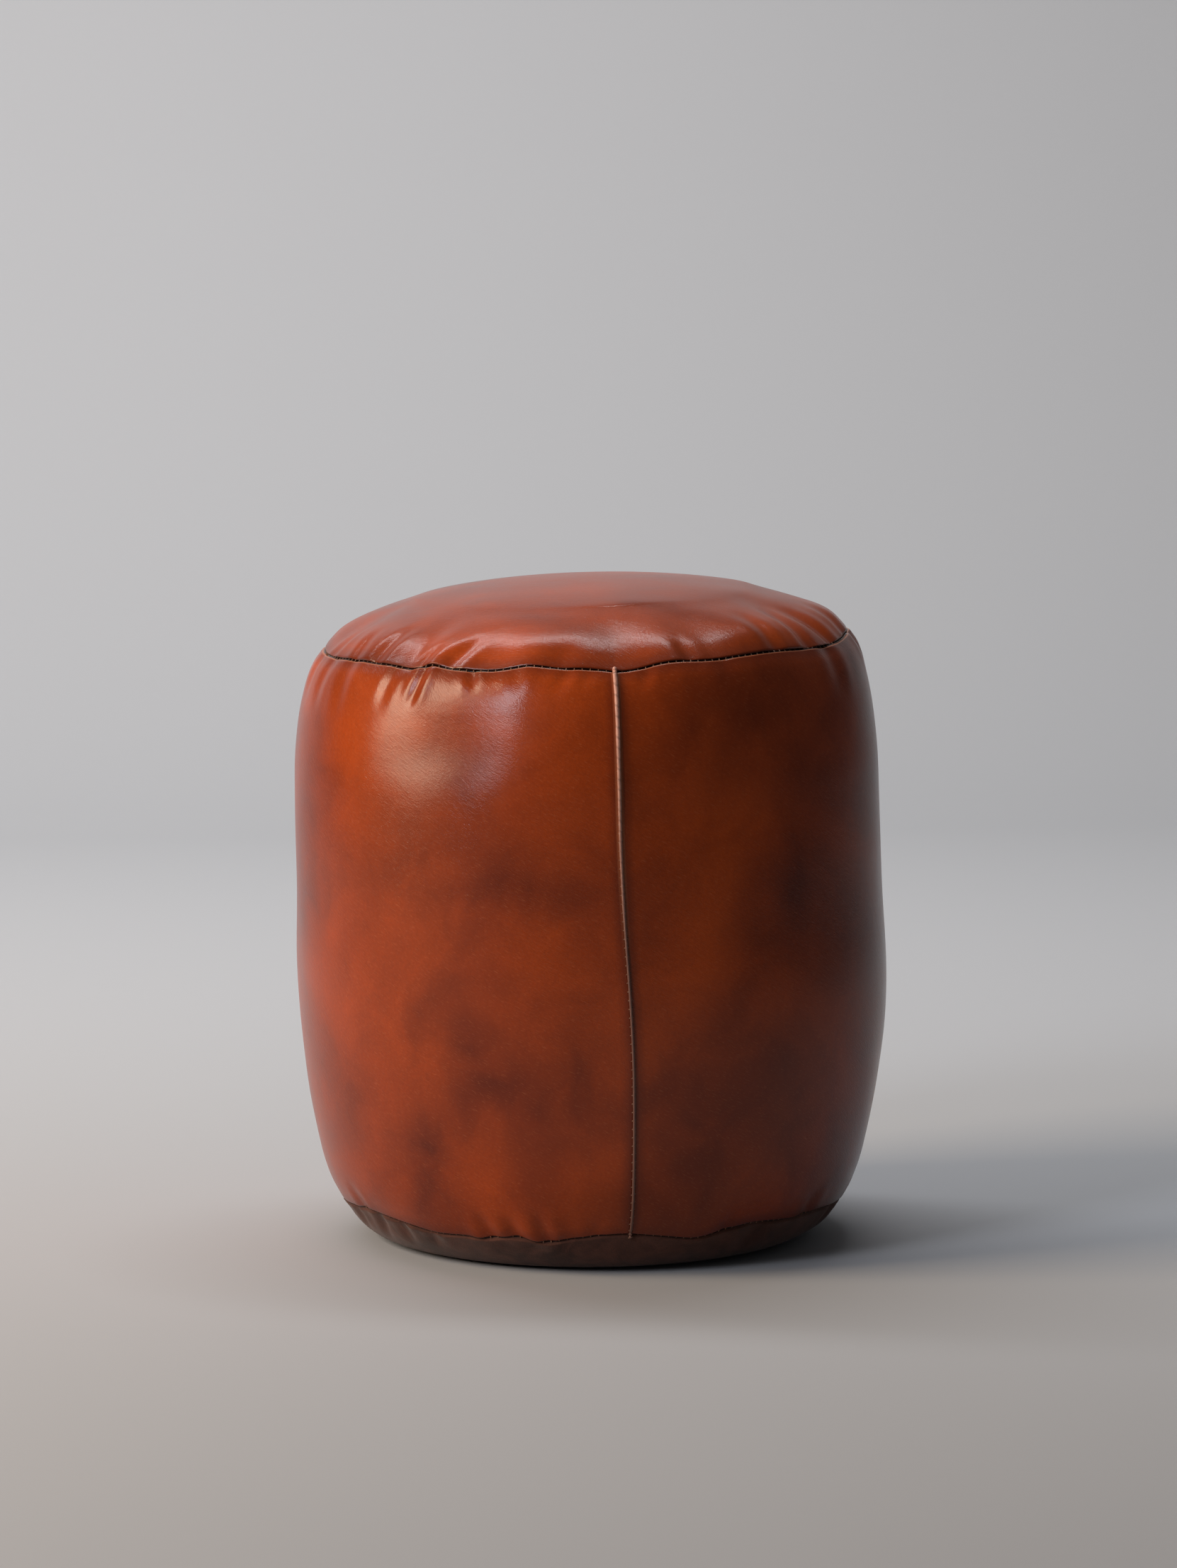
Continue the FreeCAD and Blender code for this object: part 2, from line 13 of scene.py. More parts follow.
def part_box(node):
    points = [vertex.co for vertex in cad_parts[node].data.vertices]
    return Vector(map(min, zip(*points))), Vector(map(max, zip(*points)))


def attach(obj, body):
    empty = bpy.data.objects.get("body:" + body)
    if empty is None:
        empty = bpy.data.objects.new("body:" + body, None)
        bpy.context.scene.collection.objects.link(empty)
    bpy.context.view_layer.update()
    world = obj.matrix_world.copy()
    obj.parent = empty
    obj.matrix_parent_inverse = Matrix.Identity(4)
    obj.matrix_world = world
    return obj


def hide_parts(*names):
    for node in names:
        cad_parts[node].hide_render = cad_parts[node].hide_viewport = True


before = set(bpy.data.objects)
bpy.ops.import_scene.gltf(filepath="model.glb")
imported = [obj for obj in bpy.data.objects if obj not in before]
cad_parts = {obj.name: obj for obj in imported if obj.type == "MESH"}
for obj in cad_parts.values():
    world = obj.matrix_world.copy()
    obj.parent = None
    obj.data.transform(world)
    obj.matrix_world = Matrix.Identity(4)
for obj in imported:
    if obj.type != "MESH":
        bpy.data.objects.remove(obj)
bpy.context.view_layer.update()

MM = 0.001
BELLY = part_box("side_panel_right")[1][0]
TOP_SEAM_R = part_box("top_panel")[1][0]
TOP_SEAM_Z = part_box("top_panel")[0][2]
CROWN_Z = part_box("top_panel")[1][2]
BASE_SEAM_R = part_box("base_panel_front")[1][0]
BASE_SEAM_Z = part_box("side_panel_right")[0][2]

LEATHER = 1.4 * MM
SPOKES = 180
CAP_R = 0.66 * TOP_SEAM_R
CAP_DROP = 10.5 * MM
ROLL = 1.3 * MM
GROOVE = 2.0 * MM
WELT_GROOVE = 0.9 * MM
SEAM_GAPE = 0.18 * MM
SEAM_GAP = 0.12 * MM
TURN_STEPS = (1.6 * MM, 3.6 * MM)

FILL_FRAMES = 20
SHRINK = 0.003
MOST_SWELL = 7 * MM
EVEN_ROUNDS = 14

WELT_THICK = 2.9 * MM
WELT_THIN = 1.9 * MM
WELT_TAIL = 3.0 * MM
THREAD = 0.9 * MM
THREAD_DEPTH = 0.5 * MM
STITCH_PITCH = 5.3 * MM
STITCH_ACROSS = 2.6 * MM
WELT_STITCH_PITCH = 5.8 * MM
WELT_STITCH = 3.4 * MM

SLOT_END = 130 * MM
SLOT_SIDE = 6.5 * MM
VALLEY_SIDE = (15 * MM, 24 * MM)
VALLEY_END = (134 * MM, 144 * MM)
VALLEY_DEPTH = 7 * MM
INNER_RADIUS = 184 * MM

WARM_TAN = (0.36, 0.050, 0.004)
SMOKY_BROWN = (0.105, 0.014, 0.003)
# Painted shade: the darker brown beside the seams, where the leather dips in.
SEAM_SHADE_BROWN = (0.070, 0.011, 0.005)
# Pale tan for worn streaks, and for a pale lip beside the upper seams that is partly wear and partly a painted
# highlight.
WORN_AND_HIGHLIGHT_TAN = (0.56, 0.19, 0.08)
# Painted shade: near-black laid into the seam grooves, where the leather is drawn in.
PAINTED_GROOVE_SHADE = (0.020, 0.006, 0.003)


# ---- operators ------------------------------------------------------------------------------


def only(piece):
    """Object mode, with this piece alone selected."""
    if bpy.context.object and bpy.context.object.mode != "OBJECT":
        bpy.ops.object.mode_set(mode="OBJECT")
    bpy.ops.object.select_all(action="DESELECT")
    piece.select_set(True)
    bpy.context.view_layer.objects.active = piece


def named(name):
    """The active object, renamed."""
    piece = bpy.context.object
    piece.name = name
    piece.data.name = name
    return piece


def apply_modifier(piece, kind, **settings):
    only(piece)
    modifier = piece.modifiers.new(kind.lower(), kind)
    for name, value in settings.items():
        setattr(modifier, name, value)
    bpy.ops.object.modifier_apply(modifier=modifier.name)


def subdivide(piece, levels):
    apply_modifier(piece, "SUBSURF", levels=levels, render_levels=levels)


def pick(piece, kind, test):
    """Selects vertices, edges or faces by a test on their place, and enters edit mode."""
    only(piece)
    mesh = piece.data
    for group in (mesh.vertices, mesh.edges, mesh.polygons):
        group.foreach_set("select", [False] * len(group))
    items = {"VERT": mesh.vertices, "EDGE": mesh.edges, "FACE": mesh.polygons}[kind]
    found = 0
    for item in items:
        item.select = test(item)
        found += item.select
    bpy.ops.object.mode_set(mode="EDIT")
    bpy.context.tool_settings.mesh_select_mode = (kind == "VERT", kind == "EDGE", kind == "FACE")
    return found


def edge_in(mesh, inside):
    """A test for edges whose two ends both lie where inside says."""
    return lambda edge: all(inside(mesh.vertices[index].co) for index in edge.vertices)


def smooth_step(low, high, value):
    part = min(1.0, max(0.0, (value - low) / (high - low)))
    return part * part * (3 - 2 * part)


def bump(value, middle, width):
    return math.exp(-(((value - middle) / width) ** 2))


def round_angle(point):
    """Degrees round the pouf from the front seam."""
    return math.degrees(math.atan2(point.x, -point.y))


def apart(angle, other):
    """The difference between two angles, the short way round."""
    return (angle - other + 180) % 360 - 180


# ---- camera, lights and floor ---------------------------------------------------------------

CAMERA_TURN = math.radians(-6.3)
CAMERA_DISTANCE = 4.2
CAMERA_HEIGHT = 0.80
CAMERA_AIM = 0.3098
FRAME_HEIGHT_THERE = 1.064
SENSOR = 36.0


def set_camera():
    data = bpy.data.cameras.new("camera")
    data.sensor_fit = "VERTICAL"
    data.sensor_height = SENSOR
    data.lens = SENSOR * CAMERA_DISTANCE / FRAME_HEIGHT_THERE
    camera = bpy.data.objects.new("camera", data)
    bpy.context.scene.collection.objects.link(camera)
    away = Vector((math.sin(CAMERA_TURN), -math.cos(CAMERA_TURN), 0))
    camera.location = away * CAMERA_DISTANCE + Vector((0, 0, CAMERA_HEIGHT))
    aim = Vector((0, 0, CAMERA_AIM)) - camera.location
    camera.rotation_euler = aim.to_track_quat("-Z", "Y").to_euler()
    bpy.context.scene.camera = camera


def area_light(name, place, aim, size, energy, colour=(1, 1, 1)):
    data = bpy.data.lights.new(name, "AREA")
    data.shape = "RECTANGLE"
    data.size, data.size_y = size
    data.energy = energy
    data.color = colour
    light = bpy.data.objects.new(name, data)
    bpy.context.scene.collection.objects.link(light)
    light.location = place
    light.rotation_euler = (Vector(aim) - Vector(place)).to_track_quat("-Z", "Y").to_euler()


def plain_material(name, colour, roughness):
    material = bpy.data.materials.new(name)
    material.use_nodes = True
    shader = material.node_tree.nodes["Principled BSDF"]
    shader.inputs["Base Color"].default_value = (*colour, 1)
    shader.inputs["Roughness"].default_value = roughness
    return material


def set_stage():
    """A pale floor that sweeps up into a pale wall."""
    bpy.ops.object.select_all(action="DESELECT")
    bpy.ops.mesh.primitive_plane_add(size=2, location=(0, 0, 0))
    floor = named("floor_sweep")
    for vertex in floor.data.vertices:
        vertex.co.x *= 6
        vertex.co.y = 2.2 if vertex.co.y > 0 else -6
    pick(floor, "EDGE", edge_in(floor.data, lambda place: place.y > 2))
    steps = 10
    for step in range(steps):
        turn = math.pi / 2 * (step + 0.5) / steps
        move = (0, 0.16 * math.cos(turn), 0.16 * math.sin(turn))
        bpy.ops.mesh.extrude_region_move(TRANSFORM_OT_translate={"value": move})
    bpy.ops.mesh.extrude_region_move(TRANSFORM_OT_translate={"value": (0, 0, 4)})
    only(floor)
    bpy.ops.object.shade_smooth()
    floor.data.materials.append(plain_material("pale_floor", (0.40, 0.41, 0.425), 0.85))


def set_lights():
    world = bpy.data.worlds.new("studio")
    bpy.context.scene.world = world
    world.use_nodes = True
    sky = world.node_tree.nodes["Background"]
    sky.inputs["Color"].default_value = (0.86, 0.88, 0.92, 1)
    sky.inputs["Strength"].default_value = 0.07
    middle = (0, 0, 0.25)
    area_light("window_left", (-2.78, -0.65, 1.62), middle, (1.2, 1.75), 92, (1.0, 0.79, 0.58))
    area_light("window_front", (-2.24, -2.06, 1.75), middle, (0.7, 1.3), 36, (0.88, 0.91, 1.0))
    area_light("wall_wash", (-0.6, 0.9, 2.6), (0, 2.6, 0.9), (3.0, 1.0), 92, (0.98, 0.98, 1.0))
    bpy.context.scene.view_settings.view_transform = "Standard"


set_camera()
set_stage()
set_lights()


# ---- the shape of the stuffed cover ---------------------------------------------------------

# Radius and height of the cover, from the flat underneath to the cap on top. Seams are corners.
BASE_RIM = [(CAP_R, 0.0), (0.1370, 0.0012), (0.1580, 0.0100)]
WALL = [
    (0.1815, 0.044),
    (0.1900, 0.073),
    (0.1985, 0.125),
    (0.2025, 0.180),
    (0.2015, 0.240),
    (0.2005, 0.300),
    (0.1985, 0.342),
    (0.1925, 0.376),
    (0.1862, 0.393),
]
DOME = [(0.1660, 0.4185), (0.1450, 0.4295), (CAP_R, CROWN_Z - CAP_DROP)]

# Small rises and dips of the seams: angle, height in millimetres, width in degrees.
TOP_SEAM_WAVES = [
    (-64, 1.3, 10), (-46, -2.0, 2.6), (-41, 2.6, 3.2), (-28, -0.8, 6), (-18, 2.8, 4.5),
    (2, -3.4, 5.5), (13, 1.8, 6), (36, 2.6, 14), (84, 4.2, 15), (118, 2.0, 8), (139, -2.2, 7),
    (163, 1.6, 8), (184, -2.0, 6), (214, 2.2, 9), (241, -1.8, 7), (262, 1.5, 8),
]
BASE_SEAM_WAVES = [
    (-70, 3.0, 12), (-44, -2.8, 8), (-33, -2.4, 4), (-19, -3.6, 4), (-2, 3.2, 7), (15, -2.6, 5),
    (30, 3.4, 9), (52, 2.6, 14), (92, -2.4, 9), (120, 2.8, 10), (149, -3.0, 8), (176, 2.4, 9),
    (203, -2.6, 8), (232, 3.0, 10), (258, -2.0, 7),
]
TOP_TILT = 6.0 * MM
TOP_LIFT = 5.0 * MM
LEAN = 5.0 * MM
TWIST = 2.2
SWELL = 0.016
LUMPS = 0.004

# Broad hollows of the wall: angle, height in metres, half width and half height, depth in millimetres.
HOLLOWS = [
    (-35, 0.355, 50, 32, 4.5),
    (28, 0.330, 60, 45, 2.5),
    (118, 0.300, 70, 60, 4.0),
    (196, 0.350, 55, 35, 4.0),
    (250, 0.260, 70, 55, 3.5),
]

# Folds that run from a seam into a panel: angle, lean in degrees, then length, width and depth
# in millimetres. A positive lean carries the far end towards +X.
WALL_TOP_FOLDS = [
    (-87, 4, 34, 6, 1.1), (-76, -6, 38, 6, 1.0), (-66, 5, 44, 7, 1.0), (-50, -12, 34, 4.6, 1.1),
    (-42, -15, 30, 3.4, 2.3), (-31, 24, 17, 3.4, 1.3), (-21, 12, 20, 4, 0.5), (-9, -36, 26, 4, 0.6),
    (-5, -30, 20, 3.6, 0.5), (7, -18, 18, 3.6, 0.7), (24, 10, 20, 6, 0.5), (57, -6, 38, 8, 1.1),
    (80, 8, 30, 6, 1.4),
]
WALL_BASE_FOLDS = [
    (-72, -8, 24, 6, 1.0), (-31, -24, 24, 4.5, 1.8), (-25, -22, 20, 4, 1.4), (-18, -20, 26, 4.5, 2.0),
    (-8, 10, 16, 5, 0.7), (22, 12, 22, 6, 0.9), (48, -8, 26, 7, 1.1), (76, 6, 22, 6, 1.2),
]
TOP_FOLDS = [
    (-80, 8, 40, 6, 1.2), (-66, -4, 36, 5, 1.2), (-58, 10, 44, 5, 1.6), (-44, 24, 26, 4, 1.1),
    (-37, 30, 40, 5, 1.5), (-12, 16, 30, 7, 0.7), (17, -12, 30, 5, 0.9), (40, -4, 52, 6, 1.3),
    (51, 5, 56, 6, 1.8), (62, -4, 52, 6, 1.6), (74, 6, 44, 6, 1.4),
]
SUEDE_FOLDS = [
    (-78, 4, 24, 5, 1.4), (-66, -6, 26, 5, 1.7), (-57, 5, 24, 5, 1.6), (-47, 0, 20, 5, 1.0),
    (-21, 4, 20, 7, 0.8), (31, 6, 24, 8, 1.1), (64, -6, 26, 6, 1.4), (84, 4, 22, 5, 1.2),
]


def rear_folds(seed, deepest):
    """Folds for the half that faces away, spread unevenly."""
    chance = random.Random(seed)
    angle = 94
    folds = []
    while angle < 262:
        lean = chance.uniform(-22, 22)
        length = chance.uniform(16, 42)
        width = chance.uniform(4, 7)
        folds.append((angle, lean, length, width, deepest * chance.uniform(0.35, 1)))
        angle += chance.uniform(8, 19)
    return folds


WALL_TOP_FOLDS += rear_folds(11, 2.4)
WALL_BASE_FOLDS += rear_folds(23, 1.8)
TOP_FOLDS += rear_folds(37, 1.7)
SUEDE_FOLDS += rear_folds(41, 1.6)


def waves(angle, table):
    """The height of a wavy seam at an angle, in metres."""
    return sum(height * MM * bump(apart(angle, at), 0, width) for at, height, width in table)


def turned(place, degrees):
    """A place carried round the axis, towards +X at the front."""
    turn = math.radians(degrees)
    x = place.x * math.cos(turn) - place.y * math.sin(turn)
    y = place.x * math.sin(turn) + place.y * math.cos(turn)
    return Vector((x, y, place.z))


def settled(point):
    """Where a point of the plain barrel lies once the pouf has been stuffed and has leaned a little."""
    place = point.copy()
    angle = round_angle(place)
    radius = math.hypot(place.x, place.y)
    side = place.x / BELLY
    off_floor = max(smooth_step(0.004, 0.020, place.z), smooth_step(0.140, BASE_SEAM_R, radius))
    near_top = smooth_step(0.24, TOP_SEAM_Z, place.z)
    rim = smooth_step(0.0, TOP_SEAM_R, radius)
    close_top = bump(place.z, TOP_SEAM_Z, 0.030) * smooth_step(0.13, TOP_SEAM_R, radius)
    close_base = bump(place.z, BASE_SEAM_Z, 0.022) * smooth_step(0.006, BASE_SEAM_Z, place.z)
    rise = near_top * (TOP_TILT * side + TOP_LIFT * smooth_step(CAP_R, TOP_SEAM_R, radius))
    rise += close_top * waves(angle, TOP_SEAM_WAVES)
    rise += close_base * waves(angle, BASE_SEAM_WAVES)
    lean = LEAN * (0.5 - smooth_step(0.13, 0.30, place.z)) * off_floor
    twist = TWIST * (1 - smooth_step(0.0, TOP_SEAM_Z, place.z)) * off_floor
    grow = 1.0
    if off_floor > 0 and radius > 0.5 * TOP_SEAM_R:
        soft = Vector((place.x, place.y, place.z * 0.8))
        swell = noise.noise(soft * 5.2 + Vector((3.1, 7.7, 1.3)))
        lumps = noise.noise(soft * 14 + Vector((8.4, 2.2, 5.9)))
        grow += (swell * SWELL + lumps * LUMPS) * rim * smooth_step(BASE_SEAM_Z, 0.09, place.z)
    place = turned(place, twist)
    return Vector((place.x * grow + lean, place.y * grow, place.z + rise))


def beside(seam, other, distance):
    """A profile point beside a seam, a given distance towards another profile point."""
    step = Vector((other[0] - seam[0], other[1] - seam[1]))
    step = step.normalized() * distance
    return (seam[0] + step.x, seam[1] + step.y)


def inward_tilt(height):
    """How far the line into the pouf is tipped from level, in radians: up low down, down at the top."""
    return math.radians(35 * smooth_step(0.33, TOP_SEAM_Z, height) - 35 * smooth_step(0.09, BASE_SEAM_Z, height))


def inward(place):
    """The unit direction from a place on the cover into the pouf."""
    tilt = inward_tilt(place.z)
    radial = Vector((place.x, place.y, 0)).normalized()
    return -radial * math.cos(tilt) - Vector((0, 0, math.sin(tilt)))


def sunk(seam):
    """A seam's profile point, drawn in by the stitches."""
    tilt = inward_tilt(seam[1])
    return (seam[0] - GROOVE * math.cos(tilt), seam[1] - GROOVE * math.sin(tilt))


BASE_SEAM = (BASE_SEAM_R, BASE_SEAM_Z)
TOP_SEAM = (TOP_SEAM_R, TOP_SEAM_Z)
PROFILE = (
    BASE_RIM
    + [beside(BASE_SEAM, BASE_RIM[-1], ROLL), sunk(BASE_SEAM), beside(BASE_SEAM, WALL[0], ROLL)]
    + WALL
    + [beside(TOP_SEAM, WALL[-1], ROLL), sunk(TOP_SEAM), beside(TOP_SEAM, DOME[0], ROLL)]
    + DOME
)


def barrel():
    """The closed cover before it is filled: an outline turned round the axis, with gridded caps."""
    data = bpy.data.curves.new("cover_outline", "CURVE")
    data.dimensions = "3D"
    data.resolution_u = 5
    spline = data.splines.new("BEZIER")
    spline.bezier_points.add(len(PROFILE) - 1)
    for point, (radius, height) in zip(spline.bezier_points, PROFILE):
        point.co = (radius, 0, height)
        close = any(math.dist((radius, height), seam) < 1.5 * ROLL for seam in (BASE_SEAM, TOP_SEAM))
        point.handle_left_type = point.handle_right_type = "VECTOR" if close else "AUTO"
    outline = bpy.data.objects.new("cover_outline", data)
    bpy.context.scene.collection.objects.link(outline)
    only(outline)
    bpy.ops.object.convert(target="MESH")
    cover = named("cover")
    thin_close_rows(cover)
    bpy.ops.object.mode_set(mode="EDIT")
    bpy.ops.mesh.select_all(action="SELECT")
    bpy.ops.mesh.spin(steps=SPOKES, angle=2 * math.pi, center=(0, 0, 0), axis=(0, 0, 1))
    bpy.ops.mesh.select_all(action="SELECT")
    bpy.ops.mesh.remove_doubles(threshold=0.0002)
    only(cover)
    gather_spokes(cover)
    inner = CAP_R + 0.4 * MM
    for level in (lambda place: place.z > 0.3, lambda place: place.z < 0.001):
        ring = edge_in(cover.data, lambda place: level(place) and math.hypot(place.x, place.y) < inner)
        pick(cover, "EDGE", ring)
        bpy.ops.mesh.fill_grid(span=SPOKES // 4)
        only(cover)
    bpy.ops.object.mode_set(mode="EDIT")
    bpy.ops.mesh.select_all(action="SELECT")
    bpy.ops.mesh.normals_make_consistent(inside=False)
    only(cover)
    for vertex in cover.data.vertices:
        radius = math.hypot(vertex.co.x, vertex.co.y)
        if vertex.co.z > 0.3 and radius < CAP_R - 0.4 * MM:
            vertex.co.z = CROWN_Z - CAP_DROP * (radius / CAP_R) ** 2
    return cover


def thin_close_rows(cover):
    """Keeps one row, not five, across each narrow strip beside a seam."""
    strips = []
    for seam in (sunk(BASE_SEAM), sunk(TOP_SEAM)):
        index = PROFILE.index(seam)
        strips.append((PROFILE[index - 1], seam))
        strips.append((seam, PROFILE[index + 1]))

    def between(vertex):
        place = (vertex.co.x, vertex.co.z)
        for start, end in strips:
            reach = [math.dist(place, start), math.dist(place, end)]
            if sum(reach) < math.dist(start, end) * 1.001 and min(reach) > 0.05 * ROLL:
                return True
        return False

    pick(cover, "VERT", between)
    bpy.ops.mesh.dissolve_verts()
    only(cover)


def outer_share(place):
    """1 on the wall, falling to 0 a little way in from the top and base seams."""
    seam = TOP_SEAM_R if place.z > TOP_SEAM_Z / 2 else BASE_SEAM_R
    return smooth_step(seam - 28 * MM, seam - 3 * MM, math.hypot(place.x, place.y))


def gather_spokes(cover):
    """Draws the spokes beside each side seam in, so that a narrow strip runs along it."""
    spoke = 360 / SPOKES
    strip = math.degrees(ROLL / BELLY)
    for vertex in cover.data.vertices:
        angle = round_angle(vertex.co)
        for seam in (0, 180):
            away = apart(angle, seam)
            shift = (spoke - strip) * bump(abs(away), spoke, 1.5 * spoke) * smooth_step(0, spoke, abs(away))
            shift *= outer_share(vertex.co)
            vertex.co = turned(vertex.co, -math.copysign(shift, away))
            if abs(away) < 0.01 and BASE_SEAM_Z + ROLL / 2 < vertex.co.z < TOP_SEAM_Z - ROLL / 2:
                vertex.co += inward(vertex.co) * WELT_GROOVE


PANELS = {
    "top_leather": lambda middle: middle.z > TOP_SEAM_Z - GROOVE * 0.4,
    "side_leather_left": lambda middle: middle.z > BASE_SEAM_Z + GROOVE * 0.4 and middle.x < 0,
    "side_leather_right": lambda middle: middle.z > BASE_SEAM_Z + GROOVE * 0.4,
    "base_suede": lambda middle: True,
}


def mark_panels(cover):
    """Gives each panel's faces a material slot, and every vertex its place on the plain barrel."""
    for name in PANELS:
        cover.data.materials.append(bpy.data.materials.get(name) or bpy.data.materials.new(name))
    tests = list(PANELS.values())
    for face in cover.data.polygons:
        face.material_index = next(index for index, test in enumerate(tests) if test(face.center))
    plain = cover.data.attributes.new("plain", "FLOAT_VECTOR", "POINT")
    for vertex, entry in zip(cover.data.vertices, plain.data):
        entry.vector = vertex.co


def seam_vertices(cover):
    """Every vertex that lies on more than one panel."""
    panels = {}
    for face in cover.data.polygons:
        for index in face.vertices:
            panels.setdefault(index, set()).add(face.material_index)
    return [index for index, found in panels.items() if len(found) > 1]


def fill(cover):
    """Blows the cover up like a stuffed one, held at its seams and where it rests on the floor."""
    start = [vertex.co.copy() for vertex in cover.data.vertices]
    held = cover.vertex_groups.new(name="held")
    flat = [vertex.index for vertex in cover.data.vertices if vertex.co.z < 0.004]
    held.add(seam_vertices(cover) + flat, 1.0, "REPLACE")
    only(cover)
    modifier = cover.modifiers.new("filling", "CLOTH")
    cloth = modifier.settings
    cloth.quality = 6
    cloth.mass = 0.4
    cloth.tension_stiffness = cloth.compression_stiffness = 30
    cloth.shear_stiffness = 20
    cloth.bending_stiffness = 2.5
    cloth.shrink_min = SHRINK
    cloth.use_pressure = True
    cloth.uniform_pressure_force = 4
    cloth.vertex_group_mass = "held"
    cloth.effector_weights.gravity = 0
    for step in range(1, FILL_FRAMES + 1):
        bpy.context.scene.frame_set(step)
    bpy.ops.object.modifier_apply(modifier=modifier.name)
    bpy.context.scene.frame_set(1)
    moves = [vertex.co - place for vertex, place in zip(cover.data.vertices, start)]
    for vertex, place, move in zip(cover.data.vertices, start, evened(cover, moves)):
        if move.length > MOST_SWELL:
            move.length = MOST_SWELL
        vertex.co = place + move
    cover.vertex_groups.clear()


def evened(cover, moves):
    """The moves with small buckles taken out: each is drawn towards the mean of its neighbours."""
    near = [[] for _ in moves]
    for edge in cover.data.edges:
        first, second = edge.vertices
        near[first].append(second)
        near[second].append(first)
    for _ in range(EVEN_ROUNDS):
        moves = [
            move if move.length < 0.001 * MM else move.lerp(sum((moves[i] for i in near[index]), Vector()) / len(near[index]), 0.7)
            for index, move in enumerate(moves)
        ]
    return moves


def cut_panels(cover):
    """The cover in separate panels, by name."""
    only(cover)
    bpy.ops.object.mode_set(mode="EDIT")
    bpy.ops.mesh.select_all(action="SELECT")
    bpy.ops.mesh.separate(type="MATERIAL")
    bpy.ops.object.mode_set(mode="OBJECT")
    return {piece.data.materials[0].name: piece for piece in bpy.context.selected_objects}


def plain_places(panel):
    """Each vertex's place on the plain barrel."""
    return [entry.vector.copy() for entry in panel.data.attributes["plain"].data]


def turn_in(panel, free=lambda place: True):
    """Turns a panel's cut edges in, as a seam allowance is, where free says so."""
    mesh = panel.data
    only(panel)
    bpy.ops.object.mode_set(mode="EDIT")
    bpy.context.tool_settings.mesh_select_mode = (False, True, False)
    bpy.ops.mesh.select_all(action="DESELECT")
    bpy.ops.mesh.select_non_manifold(
        use_wire=False, use_boundary=True, use_multi_face=False, use_non_contiguous=False, use_verts=False
    )
    bpy.ops.object.mode_set(mode="OBJECT")
    rim_edges = [edge for edge in mesh.edges if edge.select]
    rim = {index for edge in rim_edges for index in edge.vertices}
    back = {index: Vector() for index in rim}
    for edge in mesh.edges:
        for here, there in (tuple(edge.vertices), tuple(edge.vertices)[::-1]):
            if here in rim and there not in rim:
                back[here] += mesh.vertices[there].co - mesh.vertices[here].co
    gap = {}
    for index, step in back.items():
        gape = SEAM_GAPE * smooth_step(0.1, 0.3, mesh.vertices[index].co.z) + SEAM_GAP
        mesh.vertices[index].co += step.normalized() * gape
        gap[tuple(mesh.vertices[index].co)] = step.normalized() * SEAM_GAP
    keep = [edge.index for edge in rim_edges if all(free(mesh.vertices[i].co) for i in edge.vertices)]
    chosen = set(keep)
    pick(panel, "EDGE", lambda edge: edge.index in chosen)
    for depth in TURN_STEPS:
        bpy.ops.mesh.extrude_region_move()
        bpy.ops.object.mode_set(mode="OBJECT")
        for vertex in mesh.vertices:
            if vertex.select:
                aside = gap.get(tuple(vertex.co), Vector())
                vertex.co += inward(vertex.co) * depth + aside
        bpy.ops.object.mode_set(mode="EDIT")
    only(panel)


def fold_height(across, along, length, width):
    """The height of a fold of depth 1: a valley with a low bank each side. All in millimetres."""
    fade = smooth_step(-2, 2, along) * (1 - smooth_step(0.3 * length, length, along))
    return fade * (0.5 * bump(abs(across), 1.9 * width, width) - bump(across, 0, width))


def press_folds(panel, folds, reach):
    """Presses folds into a panel. reach says how far a plain place is from the seam, in metres."""
    mesh = panel.data
    moves = []
    for vertex, plain in zip(mesh.vertices, plain_places(panel)):
        angle = round_angle(plain)
        radius = math.hypot(plain.x, plain.y)
        from_seam = reach(plain) / MM
        height = 0.0
        if from_seam < 70:
            for at, lean, length, width, depth in folds:
                away = apart(angle, at)
                if abs(away) < 25:
                    side = math.radians(away) * radius / MM
                    slant = math.radians(lean)
                    along = from_seam * math.cos(slant) + side * math.sin(slant)
                    across = side * math.cos(slant) - from_seam * math.sin(slant)
                    height += depth * fold_height(across, along, length, width)
        on_face = smooth_step(3, 8, from_seam)
        outward = -inward(plain) * (1 - on_face) + vertex.normal * on_face
        moves.append(outward * height * MM)
    for vertex, move in zip(mesh.vertices, moves):
        vertex.co += move


def press_hollows(panel):
    for vertex, plain in zip(panel.data.vertices, plain_places(panel)):
        angle = round_angle(plain)
        depth = 0.0
        for at, height, half_width, half_height, deep in HOLLOWS:
            side = math.radians(apart(angle, at)) * BELLY / (half_width * MM)
            up = (plain.z - height) / (half_height * MM)
            depth += deep * MM * math.exp(-side * side - up * up)
        vertex.co += inward(plain) * depth


def thicken(panel, thickness):
    apply_modifier(panel, "SOLIDIFY", thickness=thickness, offset=-1, use_even_offset=False)


def lay_flat(panel, across):
    """A UV map in metres: round and up a wall, or straight down on a disc."""
    mesh = panel.data
    places = plain_places(panel)
    layer = mesh.uv_layers.new(name="hide")
    for loop in mesh.loops:
        plain = places[loop.vertex_index]
        layer.data[loop.index].uv = across(plain)


def seam_reach(panel, reach):
    """Stores how far each vertex is from the nearest seam, in metres."""
    places = plain_places(panel)
    entries = panel.data.attributes.new("seam_reach", "FLOAT", "POINT")
    for entry, plain in zip(entries.data, places):
        entry.value = reach(plain)


def below_top(plain):
    return TOP_SEAM_Z - plain.z


def above_base(plain):
    return plain.z - BASE_SEAM_Z


def in_from_top_seam(plain):
    return math.dist((math.hypot(plain.x, plain.y), plain.z), sunk(TOP_SEAM))


def in_from_base_seam(plain):
    return math.dist((math.hypot(plain.x, plain.y), plain.z), sunk(BASE_SEAM))


def wall_reach(plain):
    return min(in_from_top_seam(plain), in_from_base_seam(plain), abs(plain.x) + ROLL)


def finish_panel(panel, name, body="cover"):
    only(panel)
    panel.name = name
    panel.data.name = name
    bpy.ops.object.shade_smooth()
    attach(panel, body)


